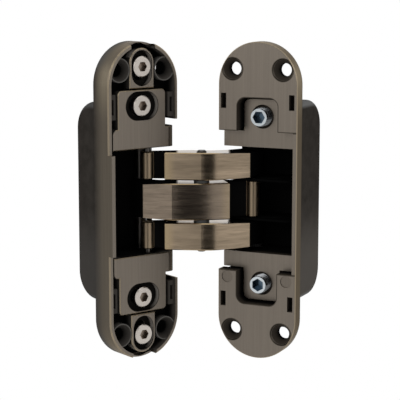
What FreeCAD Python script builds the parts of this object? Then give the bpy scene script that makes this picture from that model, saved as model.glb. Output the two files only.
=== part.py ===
import FreeCAD, Part
import math
import os

# Concealed hinge, millimetres. The frame leaf faces -Y, +Z is up, +X is the gap side.

# Leaves
leaf_width = 29.5
leaf_height = 111.5
rest_opening = 117.0
full_opening = 180.0
rim_wall = 1.4
edge_break = 0.5
overcut = 1.0

# Frame housing
tray_depth = 9.0
tray_floor = 6.0
strip_rise = 1.9
strip_half = 17.5
frame_back = 22.0
side_inset = 0.5
shell_wall = 1.2
back_wall = 2.0
box_end_wall = 6.5
box_end_round = 9.5
box_side_round = 3.0
gap_room = 2.4
rim_notch_width = 10.0
rim_notch_depth = 3.2
rim_notch_reach = 4.0

# Clip lugs in the frame tray
lug_room = 1.0
lug_face = 1.0
lug_half = 4.3
lug_hole_half = 2.6
lug_hole_inset = 0.8
lug_hole_wide = 1.1
lug_hole_floor = 5.0

# Door housing
plate_thick = 4.8
door_back = 26.0
strip_wide = 1.45
notch_half = 7.6
notch_end = 19.35
notch_round = 3.0
notch_wall = 1.4
clip_slot_wide = 2.0
clip_slot_tall = 5.3
clip_slot_deep = 3.2
clip_slot_edge = 2.0
clip_slot_drop = 1.2
mark_radius = 2.1
mark_depth = 0.3
mark_below = 2.4

# Wood screw holes, measured from the leaf's side and end
screw_hole_edge = 5.375
screw_hole_end = 9.49
screw_hole_radius = 2.3
sink_radius = 3.85
sink_depth = 2.4
sink_boss = 4.2
boss_drop = 0.8

# Linkage, in the frame leaf's plan
pivot_edge = 7.35
pivot_y = 12.9
pivot_reach = 24.25
slide_reach = 19.25
pivot_angle_rest = 297.2
slide_angle_rest = 137.0
arm_share = 0.6
door_shift = 0.63
door_sink = 4.22

# Levels above the middle plane
centre_half = 6.5
level_gap = 1.05
outer_thick = 9.7
end_room = 1.55
end_gap = 0.2

# Pins, sleeves and washers
pin_radius = 1.6
cross_radius = 1.75
slide_radius = 1.25
sleeve_wall = 0.65
slide_wall = 1.0
washer_wall = 1.0
washer_gap = 0.1
pin_seat = 4.6
door_pin_seat = 4.2
pin_rise = 0.7
groove_depth = 2.6
groove_arcs = 3
fixed_fit = 0.02
turn_fit = 0.05

# Arms: along runs from the cross pin to the fixed pin, front faces the viewer
knuckle_wall = 1.6
arm_back = 3.2
arm_hollow_round = 3.0
arm_edge = 0.35
arm_taper = 0.6
neck_front = 0.6
neck_round = 1.0
centre_shape = {"face": 4.0, "face_end": 9.1, "bend": (8.0, 7.4), "shoulder": (18.1, 9.7), "bulge": 0.95}
outer_shape = {"face": 3.0, "face_end": 12.7, "bend": (1.0, 5.4), "shoulder": (14.2, 9.4), "bend_round": 18.0}

# Cradles
frame_face = 0.9
shoulder_thick = 7.2
shoulder_round = 2.0
cradle_inset = 0.1
cradle_step = 2.95
gap_round = 3.6
tongue_half = 10.0
tongue_above = 5.5
tongue_thick = 3.3
tongue_round = 1.5
tongue_edge = 0.3
slide_room = 0.9
web_room = 0.8
height_travel = 1.5
travel_room = 1.0
door_shoulder_thick = 5.6
door_tongue_half = 7.1
door_tongue_thick = 3.4
door_tongue_room = 0.5
door_edge_room = 0.15
door_front_room = 0.4
door_press_room = 1.0
guide_thick = 0.75
guide_front = 5.9
guide_inset = 0.25
guide_tail_inset = 1.6
guide_tail_seat = 1.1
guide_round = 2.5

# Clamp plates and screws
head_radius = 3.6
head_rise = 0.4
head_room = 0.7
head_edge = 0.35
head_seat = 2.1
shank_radius = 2.2
shank_room = 0.15
screw_end = 8.55
screw_pitch = 13.5
plate_margin = 1.5
plate_room = 0.3
plate_end = 2.15
foot_room = 1.3
foot_lap = 1.0
clamp_slot_reach = 1.9
clamp_slot_drop = 0.5
oblong_reach = 1.85
oblong_room = 1.45
plate_step = 0.6
nut_end = 1.4
well_room = 0.5
well_floor = 0.8
hex_flats = 3.2
hex_depth = 1.6
press_radius = 3.3
press_below = 6.8
press_face = 1.3
press_length = 7.0
press_edge = 0.3
press_hex_depth = 3.0
press_flats = 4.0
press_sink = 0.9
press_sink_depth = 1.0

# Sizes that follow from the ones above
half_width = leaf_width / 2
half_height = leaf_height / 2
screw_hole_x = half_width - screw_hole_edge
screw_hole_z = half_height - screw_hole_end
outer_low = centre_half + level_gap
outer_high = outer_low + outer_thick
cavity_half = outer_high + end_room
cradle_shoulder = cavity_half + shoulder_thick
pocket_half = cradle_shoulder + height_travel + travel_room
box_half = pocket_half + box_end_wall
door_shoulder = cavity_half + door_shoulder_thick
opening_half = door_shoulder + door_front_room
height_screw_z = half_height - screw_end
depth_screw_z = height_screw_z - screw_pitch
tongue_top = depth_screw_z + tongue_above
plate_half = head_radius + plate_margin
plate_top = half_height - plate_end
notch_reach = half_height - notch_end
press_screw_z = notch_reach - press_below
sleeve_radius = pin_radius + sleeve_wall
slide_end = slide_radius + slide_wall
knuckle_radius = pin_radius + knuckle_wall
washer_radius = cross_radius + washer_wall
foot_face = frame_face + tongue_thick
head_face = frame_face - head_rise
ledge = frame_face + head_seat
cradle_back = frame_back - back_wall - web_room
door_cradle_back = door_back - back_wall - web_room
guide_low = centre_half + (level_gap - guide_thick) / 2
guide_high = guide_low + guide_thick
inner_left = rim_wall - half_width
box_side = half_width - side_inset - shell_wall
gap_depth = pivot_y + gap_room
door_gap_depth = gap_depth + door_sink

vector = FreeCAD.Vector
up = vector(0, 0, 1)
deep = vector(0, 1, 0)
level = vector(1, 0, 0)


def box(x0, x1, y0, y1, z0, z1):
    return Part.makeBox(x1 - x0, y1 - y0, z1 - z0, vector(x0, y0, z0))


def post(place, radius, z0, z1):
    return Part.makeCylinder(radius, z1 - z0, vector(place.x, place.y, z0), up)


def bore(x, z, radius, y0, y1):
    return Part.makeCylinder(radius, y1 - y0, vector(x, y0, z), deep)


def slot_upright(width, height, y0, y1, z=0.0):
    half = width / 2
    reach = height / 2 - half
    top = [vector(-half, y0, z + reach), vector(0, y0, z + reach + half), vector(half, y0, z + reach)]
    low = [vector(half, y0, z - reach), vector(0, y0, z - reach - half), vector(-half, y0, z - reach)]
    curves = [Part.Arc(*top), Part.LineSegment(top[2], low[0])]
    curves += [Part.Arc(*low), Part.LineSegment(low[2], top[0])]
    wire = Part.Wire([curve.toShape() for curve in curves])
    return Part.Face(wire).extrude(vector(0, y1 - y0, 0))


def slot_level(width, height, y0, y1, z):
    flat = slot_upright(height, width, y0, y1)
    flat.rotate(vector(0, 0, 0), deep, 90)
    flat.translate(vector(0, 0, z))
    return flat


def mirrored(shape):
    return shape.mirror(vector(0, 0, 0), up)


def both(shape):
    return [shape, mirrored(shape)]


def four(shape):
    return both(shape) + both(shape.mirror(vector(0, 0, 0), level))


def unit(degrees):
    turn = math.radians(degrees)
    return vector(math.cos(turn), math.sin(turn), 0)


def edges_along(shape, axis, places):
    found = []
    for edge in shape.Edges:
        if not isinstance(edge.Curve, Part.Line):
            continue
        if abs(abs(edge.Curve.Direction.dot(axis)) - 1) > 1e-6:
            continue
        middle = edge.CenterOfMass
        flat = middle - axis * middle.dot(axis)
        if any((flat - place).Length < 0.02 for place in places):
            found.append(edge)
    return found


def edges_in_plane(shape, axis, place):
    found = []
    for edge in shape.Edges:
        ends = [edge.valueAt(edge.FirstParameter), edge.valueAt(edge.LastParameter)]
        ends.append(edge.CenterOfMass)
        if all(abs(point.dot(axis) - place) < 0.005 for point in ends):
            found.append(edge)
    return found


def hexagon(flats, y0, y1, z):
    corner = flats / math.sqrt(3)
    around = [unit(60 * step) * corner for step in range(7)]
    points = [vector(point.x, y0, z + point.y) for point in around]
    return Part.Face(Part.makePolygon(points)).extrude(vector(0, y1 - y0, 0))


# Linkage positions
frame_pivot = vector(half_width - pivot_edge, pivot_y, 0)
centre_turn = pivot_angle_rest - full_opening
outer_turn = rest_opening - centre_turn


def crossing(opening):
    return frame_pivot + unit(pivot_angle_rest + arm_share * (opening - rest_opening)) * pivot_reach


def slider(opening):
    turn = slide_angle_rest + (1 - arm_share) * (opening - rest_opening)
    return crossing(opening) + unit(turn) * slide_reach


cross_point = crossing(rest_opening)
mirror_line = unit(rest_opening / 2)


def across(point):
    offset = point - cross_point
    along = mirror_line * offset.dot(mirror_line)
    return cross_point + along * 2 - offset


door_origin = across(vector(-door_shift, -door_sink, 0))
door_turn = rest_opening - full_opening


def in_frame(point):
    return point


def in_door(point):
    return vector(-(point.x + door_shift), point.y + door_sink, 0)


def place_door(shape):
    shape.rotate(vector(0, 0, 0), up, door_turn)
    shape.translate(door_origin)
    return shape


def slide_way(opening):
    way = slider(opening + 0.5) - slider(opening - 0.5)
    way.normalize()
    return way


# The groove follows the sliding pin from closed to full opening in arcs, with round ends.
def guide_groove(to_leaf, radius, z0, z1):
    left = []
    right = []
    for index in range(2 * groove_arcs + 1):
        opening = full_opening * index / (2 * groove_arcs)
        way = slide_way(opening)
        side = vector(-way.y, way.x, 0) * radius
        left.append(to_leaf(slider(opening) + side))
        right.append(to_leaf(slider(opening) - side))
    first_tip = to_leaf(slider(0) - slide_way(0) * radius)
    last_tip = to_leaf(slider(full_opening) + slide_way(full_opening) * radius)
    curves = [Part.Arc(left[-1], last_tip, right[-1]), Part.Arc(right[0], first_tip, left[0])]
    for index in range(0, 2 * groove_arcs, 2):
        curves.append(Part.Arc(*left[index:index + 3]))
        curves.append(Part.Arc(*right[index:index + 3]))
    wire = Part.Wire(Part.__sortEdges__([curve.toShape() for curve in curves]))
    groove = Part.Face(wire).extrude(vector(0, 0, z1 - z0))
    groove.translate(vector(0, 0, z0))
    return groove


# The sliding limb leaves the cross pin at a fixed angle to the limb of the fixed pin.
slide_bend = slide_angle_rest - outer_turn
slide_along = math.cos(math.radians(slide_bend))
slide_front = -math.sin(math.radians(slide_bend))


def arm_point(turn, side, along, front):
    way = unit(turn)
    normal = vector(-way.y, way.x, 0) * side
    return cross_point + way * along + normal * front


def limb_point(turn, side, reach, offset):
    along = slide_along * reach + slide_front * offset
    front = slide_front * reach - slide_along * offset
    return arm_point(turn, side, along, front)


# The end wall runs from the shoulder and just touches the knuckle.
def knuckle_touch(shoulder):
    back = shoulder[0] - pivot_reach
    reach = math.hypot(back, shoulder[1])
    lean = math.atan2(shoulder[1], back) - math.acos(knuckle_radius / reach)
    return pivot_reach + knuckle_radius * math.cos(lean), knuckle_radius * math.sin(lean)


# Between its bend and the fixed pin the arm thins, above and below.
def taper_cut(turn, side, bend, shoulder, z):
    stop = pivot_reach - knuckle_radius
    drop = math.copysign(arm_taper, z)
    clear = z + drop
    profile = [(bend[0], z), (shoulder[0], z - drop), (stop, z - drop), (stop, clear), (bend[0], clear)]
    start = -2 * arm_back
    points = [arm_point(turn, side, along, start) + vector(0, 0, height) for along, height in profile]
    across_arm = arm_point(turn, side, 0, 2 * shoulder[1]) - arm_point(turn, side, 0, start)
    return Part.Face(Part.makePolygon(points + points[:1])).extrude(across_arm)


def arm(turn, side, shape, z0, z1):
    bend = shape["bend"]
    shoulder = shape["shoulder"]
    face_end = shape["face_end"]
    hollow = (slide_end - arm_back * slide_along) / slide_front
    corners = [
        arm_point(turn, side, *knuckle_touch(shoulder)),
        arm_point(turn, side, *shoulder),
        arm_point(turn, side, *bend),
        limb_point(turn, side, face_end, shape["face"]),
        limb_point(turn, side, face_end, -neck_front),
        limb_point(turn, side, slide_reach, -neck_front),
        limb_point(turn, side, slide_reach, -slide_end),
        arm_point(turn, side, -hollow, -arm_back),
        arm_point(turn, side, pivot_reach, -arm_back),
    ]
    lift = vector(0, 0, z0)
    outline = [corner + lift for corner in corners]
    edges = [Part.LineSegment(a, b).toShape() for a, b in zip(outline, outline[1:] + outline[:1])]
    if "bulge" in shape:
        face_way = outline[3] - outline[2]
        middle = (outline[2] + outline[3]) / 2
        crown = vector(face_way.y, -face_way.x, 0).normalize() * shape["bulge"] * side
        edges[2] = Part.Arc(outline[2], middle + crown, outline[3]).toShape()
    blank = Part.Face(Part.Wire(edges)).extrude(vector(0, 0, z1 - z0))
    pivot = arm_point(turn, side, pivot_reach, 0)
    slide = limb_point(turn, side, slide_reach, 0)
    blank = blank.fuse(post(slide, slide_end, z0, z1)).removeSplitter()
    if "bend_round" in shape:
        blank = blank.makeFillet(shape["bend_round"], edges_along(blank, up, [corners[2]]))
    blank = blank.makeFillet(arm_hollow_round, edges_along(blank, up, [corners[7]]))
    blank = blank.makeFillet(neck_round, edges_along(blank, up, [corners[4]]))
    rims = edges_in_plane(blank, up, z0) + edges_in_plane(blank, up, z1)
    blank = blank.makeChamfer(arm_edge, rims)
    middle_z = (z0 + z1) / 2
    cuts = []
    for z in (z0, z1):
        cut = taper_cut(turn, side, bend, shoulder, z - middle_z)
        cut.translate(vector(0, 0, middle_z))
        cuts.append(cut)
    blank = blank.cut(cuts).fuse(post(pivot, knuckle_radius, z0, z1)).removeSplitter()
    bores = [post(pivot, pin_radius + turn_fit, z0, z1)]
    bores.append(post(cross_point, cross_radius + turn_fit, z0, z1))
    bores.append(post(slide, slide_radius + fixed_fit, z0, z1))
    return blank.cut(bores)


def back_box(y0, y1):
    half = half_width - side_inset
    blank = box(-half, half, y0, y1, -box_half, box_half)
    ends = [vector(0, y1, box_half), vector(0, y1, -box_half)]
    blank = blank.makeFillet(box_end_round, edges_along(blank, level, ends))
    sides = edges_in_plane(blank, level, half) + edges_in_plane(blank, level, -half)
    front = edges_in_plane(blank, deep, y0)
    sides = [edge for edge in sides if not any(edge.isSame(other) for other in front)]
    return blank.makeFillet(box_side_round, sides)


def leaf_blank(thick):
    blank = slot_upright(leaf_width, leaf_height, 0, thick)
    return blank.makeChamfer(edge_break, edges_in_plane(blank, deep, 0))


def wood_screw_cuts(face, thick):
    hole = bore(screw_hole_x, screw_hole_z, screw_hole_radius, -overcut, thick + overcut)
    place = vector(screw_hole_x, face, screw_hole_z)
    sink = Part.makeCone(sink_radius, screw_hole_radius, sink_depth, place, deep)
    return four(hole) + four(sink)


def clamp_screw(z, length):
    seat = head_face + head_rise + head_seat
    head = bore(0, z, head_radius, head_face, seat)
    head = head.makeChamfer(head_edge, edges_in_plane(head, deep, head_face))
    shank = bore(0, z, shank_radius, seat, head_face + length)
    socket = hexagon(hex_flats, head_face - overcut, head_face + hex_depth, z)
    return head.fuse(shank).cut(socket).removeSplitter()


nodes = {}

# Frame housing
tray = leaf_blank(tray_depth)
hollow = slot_upright(leaf_width - 2 * rim_wall, leaf_height - 2 * rim_wall, -overcut, tray_floor)
tray = tray.cut(hollow)
leaf_outline = slot_upright(leaf_width, leaf_height, 0, tray_depth)
boss = bore(screw_hole_x, screw_hole_z, sink_boss, boss_drop, tray_floor).common(leaf_outline)
lug_x = tongue_half + lug_room
lug_low = depth_screw_z - lug_half
lug = box(lug_x, half_width - rim_wall / 2, lug_face, tray_floor, lug_low, lug_low + 2 * lug_half)
adds = four(boss) + four(lug)
adds.append(box(-half_width, inner_left, -strip_rise, tray_floor, -strip_half, strip_half))
adds.append(back_box(tray_floor + back_wall, frame_back))
housing = tray.fuse(adds)
inner_back = frame_back - back_wall
mouth = (inner_left, half_width + overcut, -strip_rise - overcut, tray_depth)
cuts = [box(*mouth, -pocket_half, pocket_half)]
cuts.append(box(-box_side, half_width + overcut, tray_depth, gap_depth, -pocket_half, pocket_half))
cuts.append(box(-box_side, box_side, gap_depth, inner_back, -pocket_half, pocket_half))
cuts += wood_screw_cuts(boss_drop, tray_depth)
hole_x = lug_x + lug_hole_inset
hole_span = (depth_screw_z - lug_hole_half, depth_screw_z + lug_hole_half)
cuts += four(box(hole_x, hole_x + lug_hole_wide, 0, lug_hole_floor, *hole_span))
cuts += both(bore(0, height_screw_z, shank_radius + fixed_fit, 0, tray_depth + overcut))
well_wide = 2 * (shank_radius + well_room)
nut_well = slot_upright(well_wide, well_wide + 2 * (height_travel + well_room), 0, tray_depth - well_floor,
                        depth_screw_z)
cuts += both(nut_well)
notch = box(-rim_notch_width / 2, rim_notch_width / 2, -overcut, rim_notch_depth,
            half_height - rim_notch_reach, half_height + overcut)
cuts += both(notch)
relief_top = plate_top + height_travel + plate_room
cuts.append(slot_upright(2 * (plate_half + plate_room), 2 * relief_top, frame_face, tray_floor))
nodes["frame_housing"] = housing.cut(cuts).removeSplitter()

# Frame cradle
cradle_left = box_side - web_room
cradle_gap_end = half_width - cradle_inset
step_x = cradle_gap_end - cradle_step
block = box(-cradle_left, cradle_gap_end, frame_face, cradle_back, cavity_half, cradle_shoulder)
lip = [vector(0, frame_face, cavity_half), vector(0, frame_face, cradle_shoulder)]
block = block.makeChamfer(tongue_edge, edges_along(block, level, lip))
block = block.makeFillet(gap_round, edges_along(block, up, [vector(cradle_gap_end, frame_face, 0)]))
block = block.cut(box(step_x, half_width, gap_depth - slide_room, frame_back, 0, leaf_height))
shoulder = vector(-cradle_left, 0, cradle_shoulder)
block = block.makeFillet(shoulder_round, edges_along(block, deep, [shoulder]))
tongue = box(-tongue_half, tongue_half, frame_face, foot_face, cradle_shoulder - overcut, tongue_top)
corners = [vector(-tongue_half, 0, tongue_top), vector(tongue_half, 0, tongue_top)]
tongue = tongue.makeFillet(tongue_round, edges_along(tongue, deep, corners))
tongue = tongue.makeChamfer(tongue_edge, edges_in_plane(tongue, deep, frame_face))
half_cradle = block.fuse(tongue).removeSplitter()
oblong_tall = 2 * (head_radius + oblong_room)
shank_slot = 2 * (shank_radius + shank_room)
cuts = [slot_level(oblong_tall + 2 * oblong_reach, oblong_tall, 0, ledge, depth_screw_z)]
cuts.append(slot_level(shank_slot + 2 * oblong_reach, shank_slot, 0, tray_floor, depth_screw_z))
groove_top = cavity_half + groove_depth
cuts.append(guide_groove(in_frame, slide_radius + turn_fit, cavity_half - overcut, groove_top))
pin_top = cavity_half + pin_seat
cuts.append(post(frame_pivot, pin_radius + fixed_fit, cavity_half - overcut, pin_top))
half_cradle = half_cradle.cut(cuts)
web_front = cradle_back - back_wall
web = box(-cradle_left, step_x, web_front, cradle_back, -cradle_shoulder, cradle_shoulder)
nodes["frame_cradle"] = web.fuse(both(half_cradle)).removeSplitter()

# Height plates and clamp screws
plate_low = tongue_top + plate_step
plate_round = plate_top - plate_half
foot = box(-plate_half, plate_half, foot_face, tray_floor, pocket_half + foot_room, plate_low + foot_lap)
raised = box(-plate_half, plate_half, frame_face, tray_floor, plate_low, plate_round)
plate = foot.fuse([raised, bore(0, plate_round, plate_half, frame_face, tray_floor)]).removeSplitter()
plate = plate.makeChamfer(tongue_edge, edges_in_plane(plate, deep, frame_face))
clamp_wide = 2 * (head_radius + head_room)
clamp_z = height_screw_z - clamp_slot_drop
through = tray_floor + overcut
cuts = [slot_upright(clamp_wide, clamp_wide + 2 * clamp_slot_reach, 0, ledge, clamp_z)]
cuts.append(slot_upright(shank_slot, shank_slot + 2 * clamp_slot_reach, 0, through, clamp_z))
cuts.append(bore(0, depth_screw_z, shank_radius + fixed_fit, 0, through))
plate = plate.cut(cuts).removeSplitter()
height_screw = clamp_screw(height_screw_z, tray_depth)
depth_screw = clamp_screw(depth_screw_z, tray_floor + nut_end)
pairs = {"height_plate": plate, "height_screw": height_screw, "depth_screw": depth_screw}

# Frame pivot pin and its sleeves
pin_half = pin_top - end_gap
nodes["frame_pivot_pin"] = post(frame_pivot, pin_radius, -pin_half, pin_half)
sleeve = post(frame_pivot, sleeve_radius, centre_half + end_gap, cavity_half - end_gap)
pairs["frame_sleeve"] = sleeve.cut(post(frame_pivot, pin_radius + fixed_fit, 0, cavity_half))

# Arms, cross pin and sliding pins
nodes["centre_arm"] = arm(centre_turn, 1, centre_shape, -centre_half, centre_half)
pairs["outer_arm"] = arm(outer_turn, -1, outer_shape, outer_low, outer_high)
cross_half = outer_high + pin_rise
cross_pin = post(cross_point, cross_radius, -cross_half, cross_half)
rims = edges_in_plane(cross_pin, up, cross_half) + edges_in_plane(cross_pin, up, -cross_half)
nodes["cross_pin"] = cross_pin.makeChamfer(pin_rise - end_gap, rims)
washer = post(cross_point, washer_radius, centre_half + turn_fit, outer_low - turn_fit)
washer = washer.cut(post(cross_point, cross_radius + fixed_fit, 0, outer_high))
nodes["cross_washers"] = Part.makeCompound(both(washer))
slide_frame = slider(rest_opening)
slide_pin = post(slide_frame, slide_radius, outer_low + end_gap, groove_top - end_gap)
nodes["outer_slide_pins"] = Part.makeCompound(both(slide_pin))
nodes["centre_slide_pin"] = post(across(slide_frame), slide_radius, -guide_high, guide_high)

# Door housing
body = leaf_blank(plate_thick)
notch_room = plate_thick + door_tongue_thick + door_press_room
end_cap = box(-notch_half - notch_wall, notch_half + notch_wall, plate_thick / 2, notch_room + notch_wall,
              box_half - back_wall, notch_reach + notch_wall)
body = body.fuse([back_box(plate_thick / 2, door_back)] + both(end_cap))
notch = box(-notch_half, notch_half, -overcut, notch_room, -notch_reach, notch_reach)
notch_corners = [vector(x, 0, z) for x in (-notch_half, notch_half) for z in (-notch_reach, notch_reach)]
notch = notch.makeFillet(notch_round, edges_along(notch, deep, notch_corners))
pocket_z = opening_half + web_room
gap_side = -half_width - overcut
cuts = [notch]
cuts.append(box(gap_side, half_width - strip_wide, -overcut, plate_thick, -opening_half, opening_half))
cuts.append(box(gap_side, box_side, plate_thick, door_gap_depth, -pocket_z, pocket_z))
cuts.append(box(-box_side, box_side, door_gap_depth, door_back - back_wall + fixed_fit, -pocket_z, pocket_z))
cuts += wood_screw_cuts(0, plate_thick)
clip_x = half_width - clip_slot_edge
clip_z = notch_reach - clip_slot_drop
clip = box(clip_x - clip_slot_wide / 2, clip_x + clip_slot_wide / 2, -overcut, clip_slot_deep,
           clip_z - clip_slot_tall / 2, clip_z + clip_slot_tall / 2)
cuts += four(clip)
mark_x = (notch_half + half_width) / 2
mark_z = -opening_half - mark_below
cuts += [bore(x, mark_z, mark_radius, -overcut, mark_depth) for x in (-mark_x, mark_x)]
nodes["door_housing"] = place_door(body.cut(cuts).removeSplitter())

# Door cradle
door_pivot = in_door(frame_pivot)
face = plate_thick
tongue_back = face + door_tongue_thick
gap_x = -half_width + door_edge_room
far_x = box_side - slide_room
step_x = -box_side + web_room
block = box(gap_x, far_x, face, door_cradle_back, cavity_half, door_shoulder)
block = block.cut(box(gap_side, step_x, door_gap_depth - slide_room, door_back, 0, leaf_height))
door_tongue_top = notch_reach - door_tongue_room
tongue = box(-door_tongue_half, door_tongue_half, face, tongue_back, door_shoulder - overcut, door_tongue_top)
corners = [vector(-door_tongue_half, 0, door_tongue_top), vector(door_tongue_half, 0, door_tongue_top)]
tongue = tongue.makeFillet(notch_round - door_tongue_room, edges_along(tongue, deep, corners))
tongue = tongue.makeChamfer(tongue_edge, edges_in_plane(tongue, deep, face))
half_cradle = block.fuse(tongue).removeSplitter()
door_pin_top = cavity_half + door_pin_seat
cuts = [bore(0, press_screw_z, press_radius + fixed_fit, 0, door_back)]
cuts.append(bore(0, press_screw_z, press_radius + press_sink, 0, face + press_sink_depth))
cuts.append(post(door_pivot, pin_radius + fixed_fit, cavity_half - overcut, door_pin_top))
half_cradle = half_cradle.cut(cuts)
door_web_front = door_cradle_back - back_wall
web = box(step_x, far_x, door_web_front, door_cradle_back, -door_shoulder, door_shoulder)
tail_x = (step_x + guide_tail_inset, far_x - guide_tail_inset)
guide_tail = door_web_front + guide_tail_seat
seat = box(tail_x[0] - fixed_fit, tail_x[1] + fixed_fit, face, guide_tail + fixed_fit,
           guide_low - fixed_fit, guide_high + fixed_fit)
web = web.cut(both(seat))
nodes["door_cradle"] = place_door(web.fuse(both(half_cradle)).removeSplitter())

# Door guide plates
guide_x = -half_width + guide_inset
guide_back = door_gap_depth - slide_room
guide = box(guide_x, tail_x[1], guide_front, guide_back, guide_low, guide_high)
guide = guide.fuse(box(tail_x[0], tail_x[1], guide_front, guide_tail, guide_low, guide_high)).removeSplitter()
front_corners = [vector(guide_x, guide_front, 0), vector(tail_x[1], guide_front, 0)]
guide = guide.makeFillet(guide_round, edges_along(guide, up, front_corners))
cuts = [guide_groove(in_door, slide_radius + turn_fit, 0, cavity_half)]
cuts.append(post(door_pivot, pin_radius + fixed_fit, 0, cavity_half))
pairs["door_guide_plate"] = place_door(guide.cut(cuts))

# Door pivot pin, sleeve and washers
pin_half = door_pin_top - end_gap
nodes["door_pivot_pin"] = place_door(post(door_pivot, pin_radius, -pin_half, pin_half))
pin_hole = post(door_pivot, pin_radius + fixed_fit, -cavity_half, cavity_half)
sleeve = post(door_pivot, sleeve_radius, -centre_half, centre_half).cut(pin_hole)
nodes["door_sleeve"] = place_door(sleeve)
washer = post(door_pivot, knuckle_radius - end_gap, outer_high + washer_gap, cavity_half - washer_gap)
nodes["door_pivot_washers"] = place_door(Part.makeCompound(both(washer.cut(pin_hole))))

# Press screws
press_end = press_face + press_length
screw = bore(0, press_screw_z, press_radius, press_face, press_end)
rims = edges_in_plane(screw, deep, press_face) + edges_in_plane(screw, deep, press_end)
screw = screw.makeChamfer(press_edge, rims)
socket = hexagon(press_flats, 0, press_face + press_hex_depth, press_screw_z)
pairs["press_screw"] = place_door(screw.cut(socket))

for name, shape in pairs.items():
    nodes[name + "_upper"] = shape
    nodes[name + "_lower"] = mirrored(shape)
os.makedirs("parts", exist_ok=True)
for name, shape in nodes.items():
    shape.exportStep("parts/" + name + ".step")
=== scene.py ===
import math

import bmesh
import bpy
from mathutils import Matrix, Vector


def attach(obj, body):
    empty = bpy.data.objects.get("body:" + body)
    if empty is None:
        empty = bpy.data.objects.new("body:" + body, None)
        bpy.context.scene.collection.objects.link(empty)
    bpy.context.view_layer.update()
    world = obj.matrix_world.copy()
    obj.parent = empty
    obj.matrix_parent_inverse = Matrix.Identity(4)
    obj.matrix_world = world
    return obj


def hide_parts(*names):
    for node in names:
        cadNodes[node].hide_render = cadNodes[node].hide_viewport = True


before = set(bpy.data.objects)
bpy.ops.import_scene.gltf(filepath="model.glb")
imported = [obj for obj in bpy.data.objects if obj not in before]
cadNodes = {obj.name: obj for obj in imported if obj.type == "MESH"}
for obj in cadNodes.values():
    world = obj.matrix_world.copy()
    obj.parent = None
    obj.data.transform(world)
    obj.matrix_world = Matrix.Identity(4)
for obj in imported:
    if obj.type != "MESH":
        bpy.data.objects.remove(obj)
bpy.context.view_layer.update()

print("hinge frame loaded:", len(cadNodes), "nodes")

# the door leaf's own plane at rest
doorLeaf = {"corner": (0.031126, -0.02368, 0.0), "turn": math.radians(-63.0)}
doorDeep = Vector((-math.sin(doorLeaf["turn"]), math.cos(doorLeaf["turn"]), 0.0))
farReach = 0.1  # past every edge of the hinge


def addNode(tree, kind, values=None, **settings):
    node = tree.nodes.new(kind)
    for name, value in settings.items():
        setattr(node, name, value)
    for name, value in (values or {}).items():
        node.inputs[name].default_value = value
    return node


# a socket takes a link or a plain value
def feed(tree, socket, value):
    if isinstance(value, bpy.types.NodeSocket):
        tree.links.new(value, socket)
    else:
        socket.default_value = value


def mathNode(tree, operation, *values, clamp=False):
    node = addNode(tree, "ShaderNodeMath", operation=operation, use_clamp=clamp)
    for socket, value in zip(node.inputs, values):
        feed(tree, socket, value)
    return node.outputs[0]


def vectorNode(tree, operation, *values):
    node = addNode(tree, "ShaderNodeVectorMath", operation=operation)
    for socket, value in zip(node.inputs, values):
        feed(tree, socket, value)
    return node.outputs["Value" if operation in ("DOT_PRODUCT", "LENGTH") else "Vector"]


# one operation over several values, from the first to the last
def chain(tree, operation, first, *others):
    for value in others:
        first = mathNode(tree, operation, first, value)
    return first


def inverse(tree, mask):
    return mathNode(tree, "SUBTRACT", 1.0, mask)


def hypotenuse(tree, first, second):
    squares = mathNode(tree, "MULTIPLY_ADD", first, first, mathNode(tree, "MULTIPLY", second, second))
    return mathNode(tree, "SQRT", squares)


# 0 at the first limit and 1 at the second, smooth between them
def softStep(tree, value, limits):
    node = addNode(tree, "ShaderNodeMapRange", interpolation_type="SMOOTHSTEP")
    for name, entry in (("Value", value), ("From Min", limits[0]), ("From Max", limits[1])):
        feed(tree, node.inputs[name], entry)
    return node.outputs["Result"]


def mixColour(tree, factor, first, second):
    node = addNode(tree, "ShaderNodeMix", data_type="RGBA")
    feed(tree, node.inputs[0], factor)
    for socket, value in ((node.inputs[6], first), (node.inputs[7], second)):  # the mix's two colours
        feed(tree, socket, (*value, 1.0) if isinstance(value, tuple) else value)
    return node.outputs[2]


def splitVector(tree, vector):
    node = addNode(tree, "ShaderNodeSeparateXYZ")
    tree.links.new(vector, node.inputs[0])
    return node.outputs


# a point folded into one quarter of its leaf: across, depth and height
def foldVector(tree, vector):
    across, deep, upright = splitVector(tree, vector)
    return mathNode(tree, "ABSOLUTE", across), deep, mathNode(tree, "ABSOLUTE", upright)


def addNoise(tree, vector, settings):
    node = addNode(tree, "ShaderNodeTexNoise", settings)
    tree.links.new(vector, node.inputs["Vector"])
    return node.outputs[0]


# a fine and a broad noise by their shares, and the broad one alone
def blendNoise(tree, vector, noise):
    fine, broad = (addNoise(tree, vector, noise[name]) for name in ("fine", "broad"))
    both = mathNode(tree, "ADD", mathNode(tree, "MULTIPLY", fine, noise["fineShare"]),
                    mathNode(tree, "MULTIPLY", broad, noise["broadShare"]))
    return both, broad


# a node group that takes vectors and values and puts out values only
def startGroup(name, vectors, values, outputs):
    tree = bpy.data.node_groups.new(name, "ShaderNodeTree")
    for kind, labels in (("NodeSocketVector", vectors), ("NodeSocketFloat", values)):
        for label in labels:
            tree.interface.new_socket(label, in_out="INPUT", socket_type=kind)
    for label in outputs:
        tree.interface.new_socket(label, in_out="OUTPUT", socket_type="NodeSocketFloat")
    return tree, tree.nodes.new("NodeGroupInput").outputs, tree.nodes.new("NodeGroupOutput").inputs


# brush lines: fine and broad noise on a vector that the material has already stretched
brushNoise = {
    "fine": {"Scale": 1.0, "Detail": 3.0, "Roughness": 0.7}, "fineShare": 0.6,
    "broad": {"Scale": 0.22, "Detail": 2.0, "Roughness": 0.5}, "broadShare": 0.4, "middle": 0.5,
}


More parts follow.
